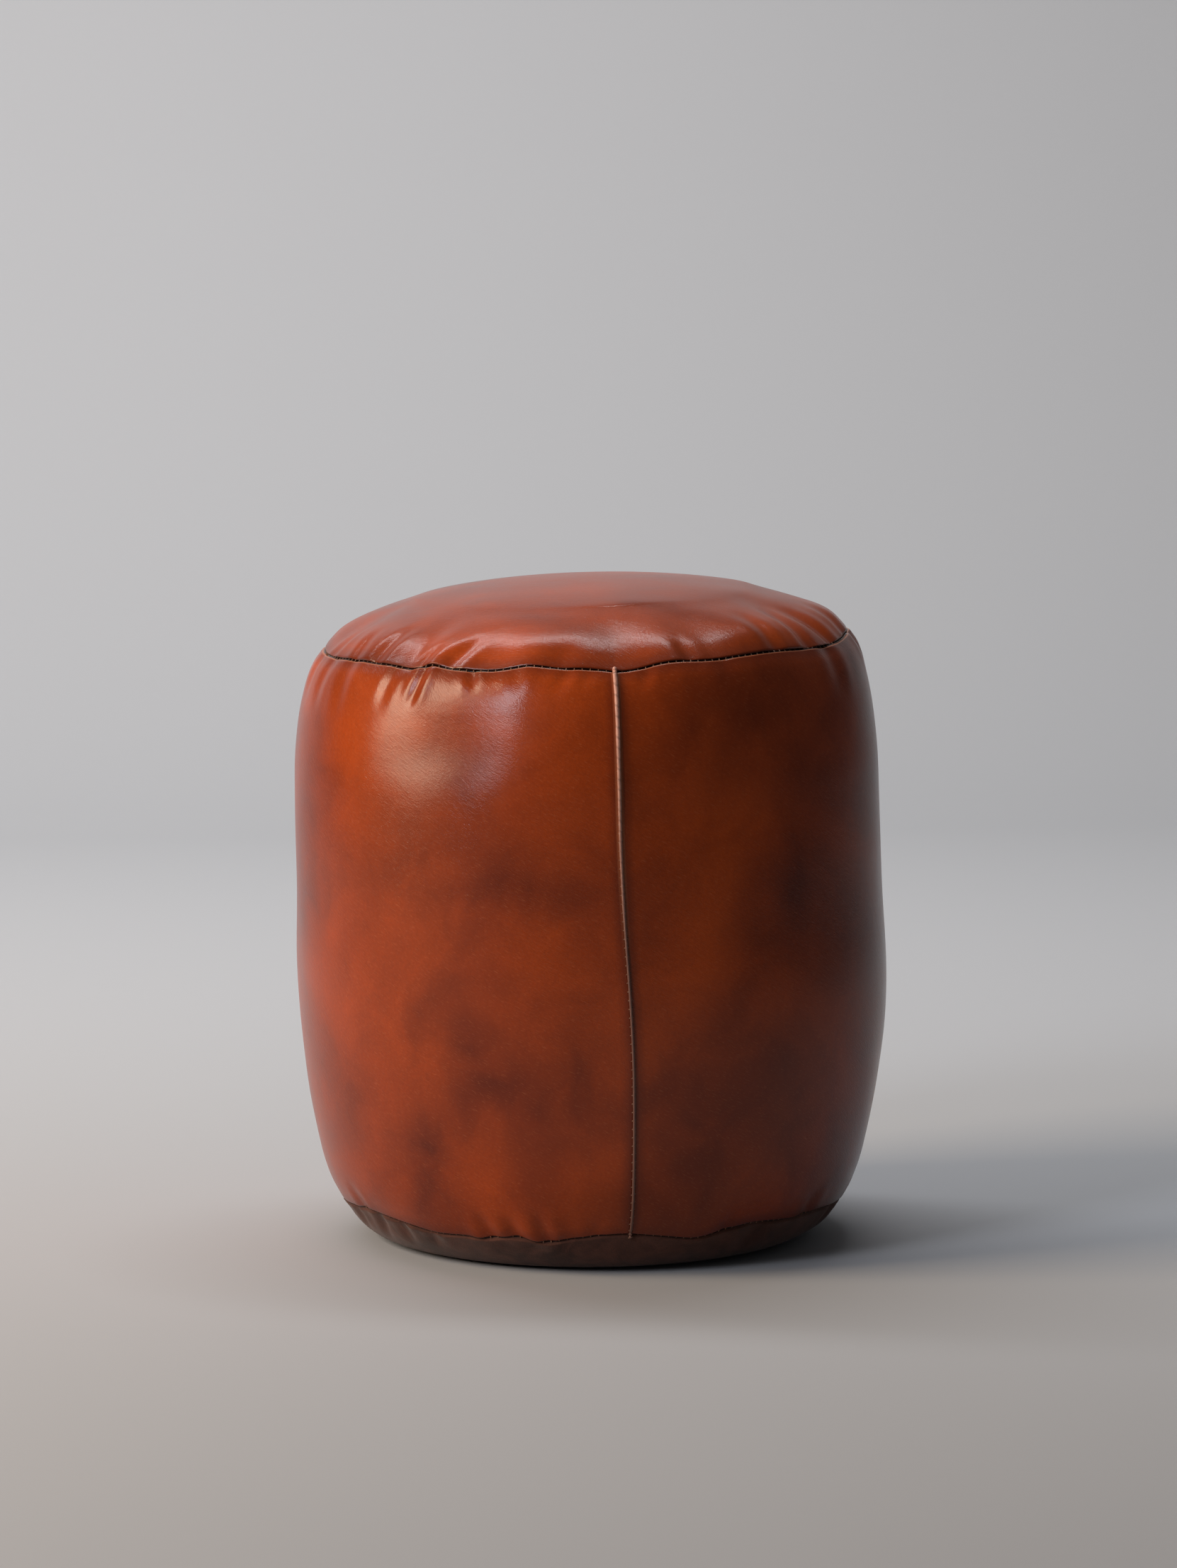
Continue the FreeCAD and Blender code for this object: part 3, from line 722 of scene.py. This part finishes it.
def make_top(panel):
    turn_in(panel)
    subdivide(panel, 1)
    press_folds(panel, TOP_FOLDS, in_from_top_seam)
    subdivide(panel, 1)
    seam_reach(panel, in_from_top_seam)
    lay_flat(panel, lambda plain: (plain.x, plain.y))
    thicken(panel, LEATHER)
    finish_panel(panel, "top_leather")
    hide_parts("top_panel")


def make_side(panel, side):
    turn_in(panel)
    subdivide(panel, 1)
    press_hollows(panel)
    press_folds(panel, WALL_TOP_FOLDS, below_top)
    press_folds(panel, WALL_BASE_FOLDS, above_base)
    subdivide(panel, 1)
    seam_reach(panel, wall_reach)
    turn = 360 if side == "right" else -360

    def unrolled(plain):
        angle = round_angle(plain)
        if abs(angle) > 179.9 and (angle > 0) != (side == "right"):
            angle += turn
        return (math.radians(angle) * BELLY, plain.z)

    lay_flat(panel, unrolled)
    thicken(panel, LEATHER)
    finish_panel(panel, f"side_leather_{side}")
    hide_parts(f"side_panel_{side}")


def bisect(panel, place, normal):
    only(panel)
    bpy.ops.object.mode_set(mode="EDIT")
    bpy.ops.mesh.select_all(action="SELECT")
    bpy.ops.mesh.bisect(plane_co=place, plane_no=normal)
    only(panel)


def valley_rise(place):
    """How far the base is drawn up round the zip."""
    side = 1 - smooth_step(*VALLEY_SIDE, abs(place.y))
    end = 1 - smooth_step(*VALLEY_END, abs(place.x))
    return VALLEY_DEPTH * side * end


def in_slot(place, margin=0.01 * MM):
    return abs(place.x) < SLOT_END + margin and abs(place.y) < SLOT_SIDE + margin


def make_base(panel):
    """Two half discs of suede that meet along the zip."""
    for height in (-SLOT_SIDE, 0, SLOT_SIDE):
        bisect(panel, (0, height, 0), (0, 1, 0))
    for end in (-SLOT_END, SLOT_END):
        bisect(panel, (end, 0, 0), (1, 0, 0))
    pick(panel, "FACE", lambda face: in_slot(face.center))
    bpy.ops.mesh.delete(type="FACE")
    bpy.ops.object.mode_set(mode="OBJECT")
    pick(panel, "FACE", lambda face: face.center.y > 0)
    bpy.ops.mesh.separate(type="SELECTED")
    bpy.ops.object.mode_set(mode="OBJECT")
    rear = next(piece for piece in bpy.context.selected_objects if piece is not panel)
    for half, side in ((panel, "front"), (rear, "rear")):
        turn_in(half, free=lambda place: not in_slot(place))
        subdivide(half, 1)
        press_folds(half, SUEDE_FOLDS, in_from_base_seam)
        for vertex in half.data.vertices:
            vertex.co.z += valley_rise(vertex.co)
        seam_reach(half, in_from_base_seam)
        lay_flat(half, lambda plain: (plain.x, plain.y))
        thicken(half, LEATHER)
        finish_panel(half, f"base_suede_{side}")
        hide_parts(f"base_panel_{side}")


# ---- welts and stitching --------------------------------------------------------------------


def side_seam_points(cover, facing):
    """Places up a side seam, lowest first, at the level of the leather. facing is -1 at the front."""
    points = []
    for plain in plain_places(cover):
        on_wall = BASE_SEAM_Z - GROOVE < plain.z < TOP_SEAM_Z + GROOVE
        if abs(plain.x) < 0.01 * MM and plain.y * facing > TOP_SEAM_R / 2 and on_wall:
            points.append(plain)
    points.sort(key=lambda plain: plain.z)
    return [settled(plain) - inward(plain) * WELT_GROOVE for plain in points]


def make_welt(name, points, node):
    """A rounded strip of raw-edged leather that stands a little proud of its seam."""
    chance = random.Random(name)
    foot, head = points[0], points[-1]
    path = [foot + inward(foot) * WELT_TAIL] + points[1:-1] + [head + inward(head) * WELT_TAIL]
    data = bpy.data.curves.new(name, "CURVE")
    data.dimensions = "3D"
    data.resolution_u = 9
    data.bevel_depth = 1.0
    data.bevel_resolution = 4
    data.use_fill_caps = True
    spline = data.splines.new("BEZIER")
    spline.bezier_points.add(len(path) - 1)
    for point, place in zip(spline.bezier_points, path):
        part = smooth_step(0.22, TOP_SEAM_Z, place.z)
        point.co = place
        point.handle_left_type = point.handle_right_type = "AUTO"
        point.radius = (WELT_THIN + (WELT_THICK - WELT_THIN) * part) / 2 * chance.uniform(0.94, 1.06)
    welt = bpy.data.objects.new(name, data)
    bpy.context.scene.collection.objects.link(welt)
    only(welt)
    bpy.ops.object.convert(target="MESH")
    welt = named(name)
    bpy.ops.object.mode_set(mode="EDIT")
    bpy.ops.mesh.select_all(action="SELECT")
    bpy.ops.mesh.remove_doubles(threshold=0.00001)
    bpy.ops.mesh.normals_make_consistent(inside=False)
    only(welt)
    bpy.ops.object.shade_smooth()
    welt.data.materials.append(bpy.data.materials["raw_edge_leather"])
    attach(welt, "cover")
    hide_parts(node)


def one_stitch():
    """A stitch of unit length along Z, rounded at its ends."""
    bpy.ops.object.select_all(action="DESELECT")
    bpy.ops.mesh.primitive_uv_sphere_add(segments=8, ring_count=6, radius=0.5)
    stitch = named("stitch")
    for vertex in stitch.data.vertices:
        vertex.co.z = math.copysign(abs(2 * vertex.co.z) ** 0.6, vertex.co.z) / 2
    return stitch


def sew(name, places, node):
    """Copies a stitch to each place, given as its middle, its direction, its length and its width."""
    pattern = one_stitch()
    copies = []
    for middle, direction, length, width in places:
        copy = bpy.data.objects.new(name, pattern.data.copy())
        bpy.context.scene.collection.objects.link(copy)
        turn = Vector((0, 0, 1)).rotation_difference(direction)
        for vertex in copy.data.vertices:
            place = Vector((vertex.co.x * width, vertex.co.y * width, vertex.co.z * length))
            vertex.co = turn @ place + middle
        copies.append(copy)
    bpy.data.objects.remove(pattern)
    only(copies[0])
    for copy in copies:
        copy.select_set(True)
    bpy.ops.object.join()
    thread = named(name)
    bpy.ops.object.shade_smooth()
    thread.data.materials.append(bpy.data.materials["thread"])
    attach(thread, "cover")
    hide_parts(node)


def ring_stitches(seam):
    """Stitches that cross a round seam, deep in its groove."""
    count = round(2 * math.pi * seam[0] / STITCH_PITCH)
    radius, height = sunk(seam)
    places = []
    for index in range(count):
        plain = turned(Vector((0, -radius, height)), 360 * index / count)
        inside = inward(plain)
        up = inside.cross(Vector((-plain.y, plain.x, 0))).normalized()
        places.append((settled(plain) + inside * THREAD_DEPTH, up, STITCH_ACROSS, THREAD))
    return places


def seam_stitches(points, facing):
    """Stitches through a side seam, just beside the welt's foot."""
    places = []
    travelled = 0.0
    for lower, upper in zip(points, points[1:]):
        step = upper - lower
        start = travelled
        travelled += step.length
        index = math.ceil(start / WELT_STITCH_PITCH)
        while index * WELT_STITCH_PITCH < travelled:
            place = lower + step * ((index * WELT_STITCH_PITCH - start) / step.length)
            across = Vector((1, 0, 0.35 * facing)).normalized()
            places.append((place + inward(place) * THREAD_DEPTH, across, WELT_STITCH, THREAD))
            index += 1
    return places


# ---- inside the cover -----------------------------------------------------------------------


def stuffed_form(name, node, material, slack, lumps):
    """A closed, firmly filled barrel inside the space of a CAD node."""
    low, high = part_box(node)
    middle = (low[2] + high[2]) / 2
    half_height = (high[2] - low[2]) / 2 - slack
    radius = INNER_RADIUS - slack
    bpy.ops.object.select_all(action="DESELECT")
    bpy.ops.mesh.primitive_uv_sphere_add(segments=96, ring_count=64, radius=1)
    form = named(name)
    for vertex in form.data.vertices:
        level = math.hypot(vertex.co.x, vertex.co.y)
        around = Vector((vertex.co.x, vertex.co.y)) / level if level > 1e-6 else Vector((0, 0))
        out = radius * math.sqrt(level)
        up = math.copysign(math.sqrt(abs(vertex.co.z)), vertex.co.z) * half_height
        dent = lumps * (0.5 + 0.5 * noise.noise(Vector(vertex.co) * 6))
        vertex.co = Vector((around.x * (out - dent), around.y * (out - dent), middle + up))
    bpy.ops.object.mode_set(mode="EDIT")
    bpy.ops.mesh.select_all(action="SELECT")
    bpy.ops.mesh.remove_doubles(threshold=0.00001)
    bpy.ops.mesh.normals_make_consistent(inside=False)
    only(form)
    bpy.ops.object.shade_smooth()
    form.data.materials.append(bpy.data.materials[material])
    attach(form, "cover")
    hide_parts(node)
    return form


# ---- materials ------------------------------------------------------------------------------


def add(tree, kind, values=None, **settings):
    """A shader node. A value that is a socket is linked, and any other is set."""
    made = tree.nodes.new("ShaderNode" + kind)
    for name, value in settings.items():
        setattr(made, name, value)
    for name, value in (values or {}).items():
        if isinstance(value, bpy.types.NodeSocket):
            tree.links.new(value, made.inputs[name])
        else:
            made.inputs[name].default_value = value
    return made


def start_material(name, **values):
    """A material with its constants on the shader's own sockets, its tree and its shader."""
    material = bpy.data.materials.get(name) or bpy.data.materials.new(name)
    material.use_nodes = True
    tree = material.node_tree
    shader = tree.nodes["Principled BSDF"]
    for socket, value in values.items():
        shader.inputs[socket.replace("_", " ")].default_value = value
    return tree, shader


def object_place(tree, scale=(1, 1, 1), turn=(0, 0, 0)):
    coordinates = add(tree, "TexCoord")
    mapping = add(tree, "Mapping", {"Vector": coordinates.outputs["Object"], "Scale": scale, "Rotation": turn})
    return mapping.outputs["Vector"]


def hide_place(tree, scale, slant):
    """A place on the flat hide, first turned by slant and then scaled, so that a grain runs that way."""
    layer = add(tree, "UVMap", uv_map="hide")
    along = add(tree, "Mapping", {"Vector": layer.outputs["UV"], "Rotation": (0, 0, math.radians(slant))})
    return add(tree, "Mapping", {"Vector": along.outputs["Vector"], "Scale": scale}).outputs["Vector"]


def cloudy(tree, place, scale, detail=3.0, roughness=0.5, distortion=0.0):
    values = {
        "Vector": place, "Scale": scale, "Detail": detail, "Roughness": roughness, "Distortion": distortion,
    }
    return add(tree, "TexNoise", values).outputs["Fac"]


def stretch(tree, value, low, high, to_low=0.0, to_high=1.0):
    values = {"Value": value, "From Min": low, "From Max": high, "To Min": to_low, "To Max": to_high}
    return add(tree, "MapRange", values, clamp=True).outputs["Result"]


def between(tree, factor, first, second, blend="MIX"):
    mix = add(tree, "Mix", data_type="RGBA", blend_type=blend)
    for name, value in (("Factor", factor), ("A", first), ("B", second)):
        socket = next(item for item in mix.inputs if item.name == name and item.enabled)
        if isinstance(value, bpy.types.NodeSocket):
            tree.links.new(value, socket)
        else:
            socket.default_value = (*value, 1) if isinstance(value, tuple) else value
    return next(item for item in mix.outputs if item.enabled)


def maths(tree, operation, first, second):
    node = add(tree, "Math", operation=operation)
    for socket, value in zip(node.inputs, (first, second)):
        if isinstance(value, bpy.types.NodeSocket):
            tree.links.new(value, socket)
        else:
            socket.default_value = value
    return node.outputs["Value"]


def weighted(tree, *pairs):
    """The sum of values, each times its weight."""
    total = None
    for value, weight in pairs:
        term = maths(tree, "MULTIPLY", value, weight)
        total = term if total is None else maths(tree, "ADD", total, term)
    return total


def bumped(tree, shader, height, depth, strength=1.0, coat=False):
    bump_node = add(tree, "Bump", {"Height": height, "Distance": depth, "Strength": strength})
    tree.links.new(bump_node.outputs["Normal"], shader.inputs["Normal"])
    if coat:
        tree.links.new(bump_node.outputs["Normal"], shader.inputs["Coat Normal"])


def leather_material(name, shift, worn_and_lit_lip):
    """Waxed leather with a smoky patina and hairline creases that run one way, with painted shade in and beside the
    seams and, where asked, a pale lip beside them that is partly wear and partly a painted highlight.
    """
    tree, shader = start_material(name, Coat_Weight=0.42, Coat_Roughness=0.13, Coat_IOR=1.5, Specular_IOR_Level=0.11)
    place = object_place(tree)
    moved = add(tree, "Mapping", {"Vector": place, "Location": shift}).outputs["Vector"]
    smoke = cloudy(tree, moved, 6.5, 2.5, 0.5, 0.5)
    wisps = cloudy(tree, moved, 24.0, 3.0, 0.55, 0.8)
    speckle = cloudy(tree, place, 520.0, 2.0, 0.6)
    streaks = cloudy(tree, hide_place(tree, (230, 1500, 1), 27), 1.0, 3.0, 0.6, 0.4)
    creases = cloudy(tree, hide_place(tree, (90, 420, 1), 32), 1.0, 2.0, 0.5, 0.9)
    pores = add(tree, "TexVoronoi", {"Vector": place, "Scale": 1150.0}).outputs["Distance"]
    reach = add(tree, "Attribute", attribute_name="seam_reach").outputs["Fac"]

    patina = weighted(tree, (smoke, 0.78), (wisps, 0.22))
    tone = between(tree, stretch(tree, patina, 0.33, 0.64), SMOKY_BROWN, WARM_TAN)
    tone = between(tree, stretch(tree, speckle, 0.35, 0.75, 0.0, 0.22), tone, SMOKY_BROWN)
    tone = between(tree, stretch(tree, streaks, 0.56, 0.72, 0.0, 0.16), tone, WORN_AND_HIGHLIGHT_TAN)
    # Painted shade: darker brown beside each seam, fading out over about 10 mm.
    tone = between(tree, stretch(tree, reach, 1.0 * MM, 10 * MM, 0.55, 0.0), tone, SEAM_SHADE_BROWN)
    # Painted shade: near-black in the seam groove, within about 1.5 mm of the seam.
    tone = between(tree, stretch(tree, reach, 0.5 * MM, 1.5 * MM, 0.95, 0.0), tone, PAINTED_GROOVE_SHADE)
    # A pale lip just outside the seam groove, only high on the wall: partly wear, partly a painted highlight where
    # that edge catches the light.
    if worn_and_lit_lip:
        upward = add(tree, "SeparateXYZ", {"Vector": place}).outputs["Z"]
        lip = maths(tree, "MULTIPLY", stretch(tree, reach, 0.9 * MM, 1.5 * MM), stretch(tree, upward, 0.2, 0.3))
        lip = maths(tree, "MULTIPLY", lip, stretch(tree, reach, 1.9 * MM, 2.7 * MM, 0.7, 0.0))
        tone = between(tree, lip, tone, WORN_AND_HIGHLIGHT_TAN)
    tree.links.new(tone, shader.inputs["Base Color"])

    dull = weighted(tree, (wisps, 0.14), (streaks, 0.12), (smoke, 0.10))
    tree.links.new(maths(tree, "ADD", dull, 0.16), shader.inputs["Roughness"])
    height = weighted(tree, (streaks, 0.55), (creases, 0.5), (pores, 0.22), (speckle, 0.12))
    bumped(tree, shader, height, 0.00022, 0.8, coat=True)


def suede_material():
    tree, shader = start_material("suede", Roughness=0.94, Sheen_Weight=0.12, Sheen_Roughness=0.45,
                                  Specular_IOR_Level=0.25)
    place = object_place(tree)
    nap = cloudy(tree, place, 900.0, 3.0, 0.65)
    brushed = cloudy(tree, place, 45.0, 3.0, 0.6, 1.5)
    patches = cloudy(tree, place, 14.0, 2.0)
    tone = between(tree, stretch(tree, brushed, 0.35, 0.7), (0.043, 0.016, 0.010), (0.098, 0.037, 0.024))
    tone = between(tree, stretch(tree, patches, 0.4, 0.7, 0.0, 0.5), tone, (0.115, 0.045, 0.030))
    tone = between(tree, stretch(tree, nap, 0.4, 0.75, 0.0, 0.4), tone, (0.035, 0.015, 0.012))
    tree.links.new(tone, shader.inputs["Base Color"])
    bumped(tree, shader, weighted(tree, (nap, 0.7), (brushed, 0.5)), 0.0005, 0.7)


def raw_edge_material():
    """Pale cut leather, notched on the slant by the stitches and spotted with soil, painted pale near the top as
    highlight and darker low down as shade.
    """
    tree, shader = start_material("raw_edge_leather", Roughness=0.52, Coat_Weight=0.12, Coat_Roughness=0.3)
    notch_place = object_place(tree, (1, 1, 1), (0, math.radians(-30), 0))
    notches = add(tree, "TexWave", {"Vector": notch_place, "Scale": 2 * math.pi / 20 / WELT_STITCH_PITCH,
                                    "Distortion": 1.6, "Detail": 2.0, "Detail Scale": 30.0},
                  wave_type="BANDS", bands_direction="Z").outputs["Fac"]
    upward = add(tree, "SeparateXYZ", {"Vector": object_place(tree)}).outputs["Z"]
    soil = cloudy(tree, object_place(tree), 120.0, 3.0, 0.6)
    # Painted light and shade: dark low on the welt, pale near the top seam, where it is lit.
    tone = between(tree, stretch(tree, upward, 0.22, 0.40), (0.115, 0.048, 0.032), (0.58, 0.28, 0.20))
    tone = between(tree, stretch(tree, notches, 0.16, 0.03, 0.0, 0.5), tone, (0.14, 0.055, 0.035))
    tone = between(tree, stretch(tree, soil, 0.45, 0.75, 0.0, 0.5), tone, (0.17, 0.07, 0.045))
    tree.links.new(tone, shader.inputs["Base Color"])
    bumped(tree, shader, weighted(tree, (notches, 0.5), (soil, 0.4)), 0.0004, 0.8)


def thread_material():
    tree, shader = start_material("thread", Roughness=0.6, Sheen_Weight=0.15)
    ply = add(tree, "TexWave", {"Vector": object_place(tree, (1, 1, 1), (0.6, 0.5, 0.3)), "Scale": 320.0,
                                "Distortion": 1.0}, wave_type="BANDS").outputs["Fac"]
    tone = between(tree, ply, (0.10, 0.038, 0.016), (0.24, 0.11, 0.055))
    tree.links.new(tone, shader.inputs["Base Color"])
    bumped(tree, shader, ply, 0.0002, 0.6)


def weave(tree, place, threads):
    """The height of a plain weave with this many threads to the metre."""
    warp = add(tree, "TexWave", {"Vector": place, "Scale": threads * 0.16, "Distortion": 0.4},
               wave_type="BANDS", bands_direction="X").outputs["Fac"]
    weft = add(tree, "TexWave", {"Vector": place, "Scale": threads * 0.16, "Distortion": 0.4},
               wave_type="BANDS", bands_direction="Y").outputs["Fac"]
    return maths(tree, "MAXIMUM", warp, weft)


def cloth_material(name, threads, dark, light, roughness):
    tree, shader = start_material(name, Roughness=roughness, Sheen_Weight=0.2)
    place = object_place(tree)
    height = weave(tree, place, threads)
    slubs = cloudy(tree, place, threads * 0.08, 3.0, 0.7)
    tone = between(tree, weighted(tree, (height, 0.7), (slubs, 0.3)), dark, light)
    tree.links.new(tone, shader.inputs["Base Color"])
    bumped(tree, shader, height, 0.0003, 0.7)


def metal_material(name, clean, tarnished, roughness):
    tree, shader = start_material(name, Metallic=1.0)
    place = object_place(tree)
    tarnish = cloudy(tree, place, 260.0, 4.0, 0.65, 0.6)
    scuffs = cloudy(tree, object_place(tree, (3000, 300, 300)), 1.0, 2.0)
    tone = between(tree, stretch(tree, tarnish, 0.38, 0.66), clean, tarnished)
    tree.links.new(tone, shader.inputs["Base Color"])
    tree.links.new(weighted(tree, (tarnish, 0.25), (scuffs, 0.2), (tarnish, roughness)), shader.inputs["Roughness"])
    bumped(tree, shader, scuffs, 0.00004, 0.5)


def stuffing_material():
    tree, shader = start_material("stuffing", Roughness=0.95, Sheen_Weight=0.3)
    place = object_place(tree)
    tufts = cloudy(tree, place, 60.0, 5.0, 0.7, 2.0)
    fibres = cloudy(tree, object_place(tree, (900, 260, 700), (0.4, 0.3, 0.8)), 1.0, 3.0, 0.7, 1.5)
    tone = between(tree, stretch(tree, tufts, 0.35, 0.7), (0.40, 0.38, 0.35), (0.66, 0.64, 0.60))
    tree.links.new(tone, shader.inputs["Base Color"])
    bumped(tree, shader, weighted(tree, (tufts, 0.8), (fibres, 0.5)), 0.002, 0.8)


def make_materials():
    leather_material("top_leather", (0.31, 0.12, 0.40), worn_and_lit_lip=False)
    leather_material("side_leather", (0.05, 0.22, 0.13), worn_and_lit_lip=True)
    suede_material()
    raw_edge_material()
    thread_material()
    cloth_material("zip_tape", 2600, (0.018, 0.010, 0.008), (0.075, 0.045, 0.035), 0.85)
    cloth_material("liner_cloth", 1800, (0.42, 0.38, 0.30), (0.72, 0.67, 0.57), 0.9)
    metal_material("zip_metal", (0.62, 0.46, 0.21), (0.34, 0.23, 0.10), 0.15)
    metal_material("slider_metal", (0.56, 0.42, 0.21), (0.27, 0.18, 0.09), 0.12)
    stuffing_material()


# ---- building it ----------------------------------------------------------------------------

make_materials()
closed_cover = barrel()
mark_panels(closed_cover)
for cover_vertex in closed_cover.data.vertices:
    cover_vertex.co = settled(cover_vertex.co)
front_seam = side_seam_points(closed_cover, -1)
rear_seam = side_seam_points(closed_cover, 1)
fill(closed_cover)
panels = cut_panels(closed_cover)
for panel_name, finish_name in (
    ("side_leather_left", "side_leather"),
    ("side_leather_right", "side_leather"),
    ("base_suede", "suede"),
):
    panels[panel_name].data.materials[0] = bpy.data.materials[finish_name]
make_top(panels["top_leather"])
make_side(panels["side_leather_left"], "left")
make_side(panels["side_leather_right"], "right")
make_base(panels["base_suede"])

make_welt("front_welt", front_seam, "front_seam_welt")
make_welt("rear_welt", rear_seam, "rear_seam_welt")
sew("top_seam_stitches", ring_stitches(TOP_SEAM), "top_seam_thread")
sew("base_seam_stitches", ring_stitches(BASE_SEAM), "base_seam_thread")
sew("front_seam_stitches", seam_stitches(front_seam, 1), "front_seam_thread")
sew("rear_seam_stitches", seam_stitches(rear_seam, -1), "rear_seam_thread")

stuffed_form("liner_bag_cloth", "liner_bag", "liner_cloth", 6 * MM, 1.5 * MM)
stuffed_form("stuffing_fill", "stuffing", "stuffing", 9 * MM, 4 * MM)

NODE_FINISH = {
    "zip_tape_front": "zip_tape",
    "zip_tape_rear": "zip_tape",
    "zip_teeth_front": "zip_metal",
    "zip_teeth_rear": "zip_metal",
    "zip_top_stop_front": "zip_metal",
    "zip_top_stop_rear": "zip_metal",
    "zip_bottom_stop": "zip_metal",
    "zip_stitching_front": "thread",
    "zip_stitching_rear": "thread",
    "zip_slider": "slider_metal",
    "zip_pull": "slider_metal",
}
for node_name, finish_name in NODE_FINISH.items():
    for material_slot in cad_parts[node_name].material_slots:
        material_slot.material = bpy.data.materials[finish_name]
